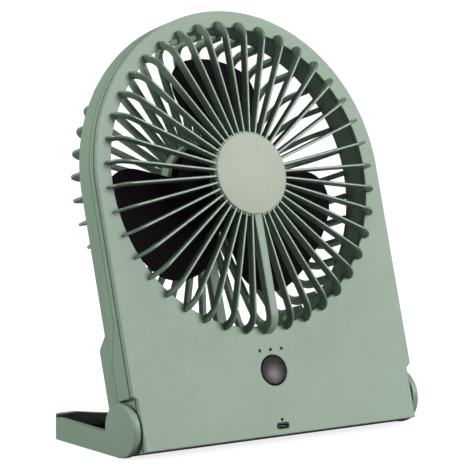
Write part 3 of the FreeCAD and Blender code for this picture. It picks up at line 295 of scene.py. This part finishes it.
def bevelled_copy(node, width, body, slot, segments=2):
    """Copy of a solid with its flat faces joined up and its edges rounded."""
    flat, sharp_edge = math.radians(1.0), math.radians(25)
    work = bmesh.new()
    work.from_mesh(nodes[node].data)
    bmesh.ops.remove_doubles(work, verts=work.verts, dist=0.002 * MM)
    bmesh.ops.dissolve_limit(work, angle_limit=flat, verts=work.verts, edges=work.edges)
    mesh = bpy.data.meshes.new(node + "_shape")
    work.to_mesh(mesh)
    work.free()
    piece = add_piece(node + "_moulding", mesh, body, node, slot)
    bevel = piece.modifiers.new("rounding", "BEVEL")
    bevel.width = width * MM
    bevel.segments = segments
    bevel.limit_method = "ANGLE"
    bevel.angle_limit = sharp_edge
    bevel.use_clamp_overlap = True
    return piece


def arc_points(centre, radius, start, end, steps):
    """Points on an arc, angles in degrees."""
    spots = []
    for i in range(steps + 1):
        angle = math.radians(start + (end - start) * i / steps)
        spots.append((centre[0] + radius * math.cos(angle),
                      centre[1] + radius * math.sin(angle)))
    return spots


def hole_points(centre, radius, steps):
    """Closed ring of points that doesn't repeat its first one."""
    return arc_points(centre, radius, 0, 360 - 360 / steps, steps - 1)


def finish_mesh(work, name):
    bmesh.ops.recalc_face_normals(work, faces=work.faces)
    mesh = bpy.data.meshes.new(name)
    work.to_mesh(mesh)
    work.free()
    return mesh


def plate_mesh(name, loops, front, back, rounding, matrix):
    """Plate with rounded edges and holes, made from closed outlines in one plane."""
    curve = bpy.data.curves.new(name + "_outline", "CURVE")
    curve.dimensions = "2D"
    curve.fill_mode = "BOTH"
    curve.extrude = (front - back) / 2 - rounding
    curve.bevel_depth = rounding
    curve.bevel_resolution = 2
    curve.offset = -rounding
    for loop in loops:
        spline = curve.splines.new("POLY")
        spline.points.add(len(loop) - 1)
        for point, (x, y) in zip(spline.points, loop):
            point.co = (x, y, 0, 1)
        spline.use_cyclic_u = True
    holder = bpy.data.objects.new(name + "_holder", curve)
    bpy.context.scene.collection.objects.link(holder)
    bpy.context.view_layer.update()
    mesh = bpy.data.meshes.new_from_object(
        holder.evaluated_get(bpy.context.evaluated_depsgraph_get()))
    bpy.data.objects.remove(holder)
    bpy.data.curves.remove(curve)
    mesh.name = name
    mesh.transform(matrix @ Matrix.Translation((0, 0, (front + back) / 2)))
    return mesh


def turned_mesh(name, profile, matrix, steps=128):
    """Round piece about its own axis from (radius, depth) pairs; the ends may lie on it."""
    work = bmesh.new()
    spots = [work.verts.new(Vector((r, 0, z))) for r, z in profile]
    edges = [work.edges.new(pair) for pair in zip(spots, spots[1:])]
    bmesh.ops.spin(work, geom=spots + edges, cent=(0, 0, 0), axis=(0, 0, 1),
                   angle=math.radians(360), steps=steps, use_merge=True)
    bmesh.ops.remove_doubles(work, verts=work.verts, dist=0.001)
    mesh = finish_mesh(work, name)
    mesh.transform(matrix)
    return mesh


def rounded(corner_in, corner, corner_out, radius):
    """Points that round a corner between two neighbouring points."""
    a, b, c = Vector(corner_in), Vector(corner), Vector(corner_out)
    first, last = (a - b).normalized(), (c - b).normalized()
    steps = 4
    spots = []
    for i in range(steps + 1):
        share = i / steps
        start = b + first * radius * (1 - share)
        end = b + last * radius * share
        spots.append(tuple(start + (end - start) * share))
    return spots


# ribs

def strip_section(inner_width, outer_width, depth, rounding):
    """Rounded tapered section of a rib, as (across, outward) pairs."""
    spots = []
    corners = [(outer_width / 2, depth / 2, 0), (-outer_width / 2, depth / 2, 90),
               (-inner_width / 2, -depth / 2, 180), (inner_width / 2, -depth / 2, 270)]
    for x, y, start in corners:
        inset_x = x - math.copysign(rounding, x)
        inset_y = y - math.copysign(rounding, y)
        spots += arc_points((inset_x, inset_y), rounding, start, start + 90, 3)
    return spots


def rib_line(start, corner, bend, height, end):
    """Centre line of a rib as (radius, depth, outward radius, outward depth): straight out,
    round the corner and back to the housing. Height is positive in front."""
    sign = math.copysign(1, height)
    steps = 10
    line = [(start, height, 0, sign)]
    centre = (corner, height - sign * bend)
    for i in range(steps + 1):
        angle = math.radians(90 - 90 * i / steps)
        out = (math.cos(angle), sign * math.sin(angle))
        line.append((centre[0] + bend * out[0], centre[1] + bend * out[1], out[0], out[1]))
    line.append((corner + bend, end, 1, 0))
    return line


def add_rib(work, line, section, angle):
    """One rib turned to its angle about the fan axis and added to the mesh in work."""
    turn = HEAD @ Matrix.Rotation(math.radians(angle), 4, "Z")
    rings = []
    for radius, depth, out_r, out_z in line:
        ring = []
        for across, outward in section:
            spot = Vector((radius + out_r * outward, across, depth + out_z * outward))
            ring.append(work.verts.new(turn @ spot))
        rings.append(ring)
    count = len(section)
    for first, second in zip(rings, rings[1:]):
        for i in range(count):
            j = (i + 1) % count
            work.faces.new((first[i], first[j], second[j], second[i]))
    work.faces.new(rings[0])
    work.faces.new(rings[-1])


def rib_angles():
    return [360 * i / RIBS for i in range(RIBS)]


# front of the head

def add_face_plate():
    """Arched plate with the round opening, the holes of the button and the lamps, and the
    charging slot. Its sides step in below the notch."""
    lamp_spots = [(-LAMP_PITCH, LAMP_Y), (0, LAMP_Y), (LAMP_PITCH, LAMP_Y), (0, CHARGE_LAMP_Y)]
    outline = [(LOWER_HALF_WIDTH, FACE_LOW), (LOWER_HALF_WIDTH, FACE_NOTCH),
               (HALF_WIDTH, FACE_SIDE)]
    outline += arc_points((0, 0), HALF_WIDTH, 0, 180, 96)
    outline += [(-HALF_WIDTH, FACE_SIDE), (-LOWER_HALF_WIDTH, FACE_NOTCH),
                (-LOWER_HALF_WIDTH, FACE_LOW)]
    end = SLOT_HEIGHT / 2
    flat = SLOT_WIDTH / 2 - end
    slot = (arc_points((flat, SLOT_Y), end, -90, 90, 12)
            + arc_points((-flat, SLOT_Y), end, 90, 270, 12))
    loops = [outline, hole_points((0, 0), OPENING, 144),
             hole_points((0, BUTTON_Y), BUTTON_HOLE, 36)]
    loops += [hole_points(spot, LAMP_HOLE, 12) for spot in lamp_spots]
    loops.append(slot)
    mesh = plate_mesh("face_plate", loops, 0, -FACE_THICKNESS, PLATE_ROUND, HEAD)
    add_piece("face_plate", mesh, "head", "front_panel", "body_plastic")


def add_front_ribs():
    """Forty ribs from the seat of the cap to the plate; the lowest is wide and flat."""
    root = HUB_RADIUS - 1.5
    sunk = -1.3
    narrow = strip_section(1.8, 1.2, RIB_DEPTH, 0.35)
    wide = strip_section(4.5, 4.4, RIB_DEPTH + 0.1, 0.25)
    line = rib_line(root, DOME_RADIUS - DOME_CORNER, DOME_CORNER - RIB_DEPTH / 2,
                    DOME_DEPTH - RIB_DEPTH / 2, sunk)
    work = bmesh.new()
    for angle in rib_angles():
        if angle != LOWEST_RIB:
            add_rib(work, line, narrow, angle)
    mesh = finish_mesh(work, "front_ribs")
    # The narrow ribs take the darker sage, which is painted shade between them; the wide lowest rib keeps the body
    # plastic.
    add_piece("front_ribs", mesh, "head", "front_panel", "body_plastic", "rib_plastic_painted_shade", 50)
    work = bmesh.new()
    add_rib(work, line, wide, LOWEST_RIB)
    mesh = finish_mesh(work, "front_rib_wide")
    add_piece("front_rib_wide", mesh, "head", "front_panel", "body_plastic", sharp=50)


def add_hub():
    """Seat disc that the ribs run into, and the pale cap on it."""
    back = DOME_DEPTH - RIB_DEPTH - 0.6
    seat = HUB_RADIUS + 0.6
    top = 9.3
    disc = [(0, back), (seat, back), (seat, HUB_RIM), (0, HUB_RIM)]
    mesh = turned_mesh("hub_disc", disc, HEAD)
    add_piece("hub_disc", mesh, "head", "front_panel", "body_plastic")
    edge = rounded((HUB_RADIUS, HUB_RIM), (HUB_RADIUS, top), (0, top), 0.8)
    underside = HUB_RIM - 0.5
    cap = [(0, underside), (HUB_RADIUS, underside)] + edge + [(0, top)]
    mesh = turned_mesh("hub_cap", cap, HEAD)
    add_piece("hub_cap_disc", mesh, "head", "hub_cap", "cap_plastic")


def add_button():
    """Dished push button with a raised rim, narrower than its hole so a dark ring shows,
    and the flange that keeps it behind the plate."""
    rim = BUTTON_RADIUS - 0.55
    bowl = BUTTON_RADIUS - 1.2
    bowl_low, dish = -1.15, 22.0
    back = -2.7
    spread = math.degrees(math.asin(bowl / dish))
    bottom = arc_points((0, bowl_low + dish), dish, -90, -90 + spread, 12)
    profile = (bottom + rounded(bottom[-1], (bowl + 0.45, -0.02), (rim, -0.3), 0.3)
               + rounded((bowl + 0.45, 0), (rim, -0.2), (rim, back), 0.3)
               + [(rim, back), (0, back)])
    place = HEAD @ Matrix.Translation((0, BUTTON_Y, 0))
    mesh = turned_mesh("button_cap", profile, place, 72)
    add_piece("button_cap", mesh, "button", "power_button", "dark_plastic", "button_plastic")
    flange, boss = 8.6, 2
    steps = [(0, -2.6), (flange, -2.6), (flange, -3.5), (boss, -3.5), (boss, -3.85), (0, -3.85)]
    mesh = turned_mesh("button_flange", steps, place, 72)
    add_piece("button_flange", mesh, "button", "power_button", "dark_plastic")


# back of the head

def add_rear_ribs():
    """Forty deeper ribs from the motor mount to the housing; the lowest carries the leads."""
    root = MOUNT_OUTER - 1.1
    sunk = 0.4
    line = rib_line(root, CAGE_RADIUS - CAGE_CORNER, CAGE_CORNER - CAGE_RIB_DEPTH / 2,
                    -(CAGE_DEPTH - CAGE_RIB_DEPTH / 2), sunk - HOUSING_DEPTH)
    narrow = strip_section(2.6, 1.5, CAGE_RIB_DEPTH, CAGE_RIB_ROUND)
    wide = strip_section(5.6, 5.6, CAGE_RIB_DEPTH, CAGE_RIB_ROUND)
    work = bmesh.new()
    for angle in rib_angles():
        add_rib(work, line, wide if angle == LOWEST_RIB else narrow, angle)
    mesh = finish_mesh(work, "rear_ribs")
    add_piece("rear_ribs", mesh, "head", "rear_grille", "body_plastic", sharp=50)


def add_motor_mount():
    """Cup that holds the motor, with a pale cream band on its rim that is a painted highlight."""
    inner, outer, front, back = MOUNT_INNER, MOUNT_OUTER, MOUNT_FRONT, -CAGE_DEPTH
    cup = ([(0, MOUNT_FLOOR), (inner, MOUNT_FLOOR)]
           + rounded((inner, MOUNT_FLOOR), (inner, front), (outer, front), 0.4)
           + rounded((inner, front), (outer, front), (outer, back), 0.4)
           + rounded((outer, front), (outer, back), (0, back), 0.8)
           + [(0, back)])
    mesh = turned_mesh("motor_mount", cup, HEAD)
    add_piece("motor_mount", mesh, "head", "rear_grille", "body_plastic")
    # Thin cream band laid on the front of the rim: painted highlight.
    band_inner, band_outer, band_top = inner + 0.3, outer - 0.4, front + 0.05
    band = [(band_inner, front), (band_inner, band_top), (band_outer, band_top),
            (band_outer, front)]
    mesh = turned_mesh("mount_rim_painted_highlight", band, HEAD)
    add_piece("mount_rim_painted_highlight", mesh, "head", "rear_grille", "body_plastic", "rim_painted_highlight")


def add_cage_ring():
    """Flat ring that the rear ribs stand on."""
    front = -HOUSING_DEPTH
    back = front - CAGE_RING_DEPTH
    ring = ([(OPENING, back), (OPENING, front), (CAGE_RING_RADIUS, front)]
            + rounded((CAGE_RING_RADIUS, front), (CAGE_RING_RADIUS, back), (OPENING, back), 0.4)
            + [(OPENING, back)])
    mesh = turned_mesh("cage_ring", ring, HEAD)
    add_piece("cage_ring", mesh, "head", "rear_grille", "body_plastic")


# housing, foot and impeller

def shape_blade_tips(mesh):
    """Draws the outer part of the blades outward and back, most at the tip."""
    local = HEAD.inverted()
    for vertex in mesh.vertices:
        spot = local @ vertex.co
        radius = math.hypot(spot.x, spot.y)
        share = max(radius - BLADE_BEND, 0) / (BLADE_TIP - BLADE_BEND)
        spot.xy *= 1 + TIP_REACH * share / max(radius, 1)
        spot.z -= TIP_RAKE * share
        vertex.co = HEAD @ spot


def add_mouldings():
    bevelled_copy("front_housing", 0.35, "head", "body_plastic")
    bevelled_copy("rear_housing", 0.5, "head", "body_plastic")
    bevelled_copy("foot_frame", 0.9, "stand", "body_plastic", segments=3)
    impeller = bevelled_copy("impeller", 0.4, "rotor", "dark_plastic")
    shape_blade_tips(impeller.data)
    bevelled_copy("rear_strip", 0.4, "stand", "strip_rubber")


def paint_kept_nodes():
    """Gives every solid that still shows the material of its slot; the charging socket then gets a near-black
    metal, which is painted shade of its slot.
    """
    slots = {row["node"]: row["material_slot"] for row in frame["record"]["subparts"]}
    for name, node in nodes.items():
        node.data.materials.clear()
        node.data.materials.append(materials[slots[name]])
        node.data.shade_smooth()
    # Charging socket in near-black metal: painted shade inside the slot.
    nodes["usb_socket"].data.materials[0] = materials["inlet_shell_painted_shade"]


def write_size():
    bpy.context.view_layer.update()


bpy.context.scene.view_settings.view_transform = "Standard"
add_camera()
add_studio()
add_floor()
paint_kept_nodes()
add_face_plate()
add_front_ribs()
add_hub()
add_rear_ribs()
add_motor_mount()
add_cage_ring()
add_button()
add_mouldings()
write_size()
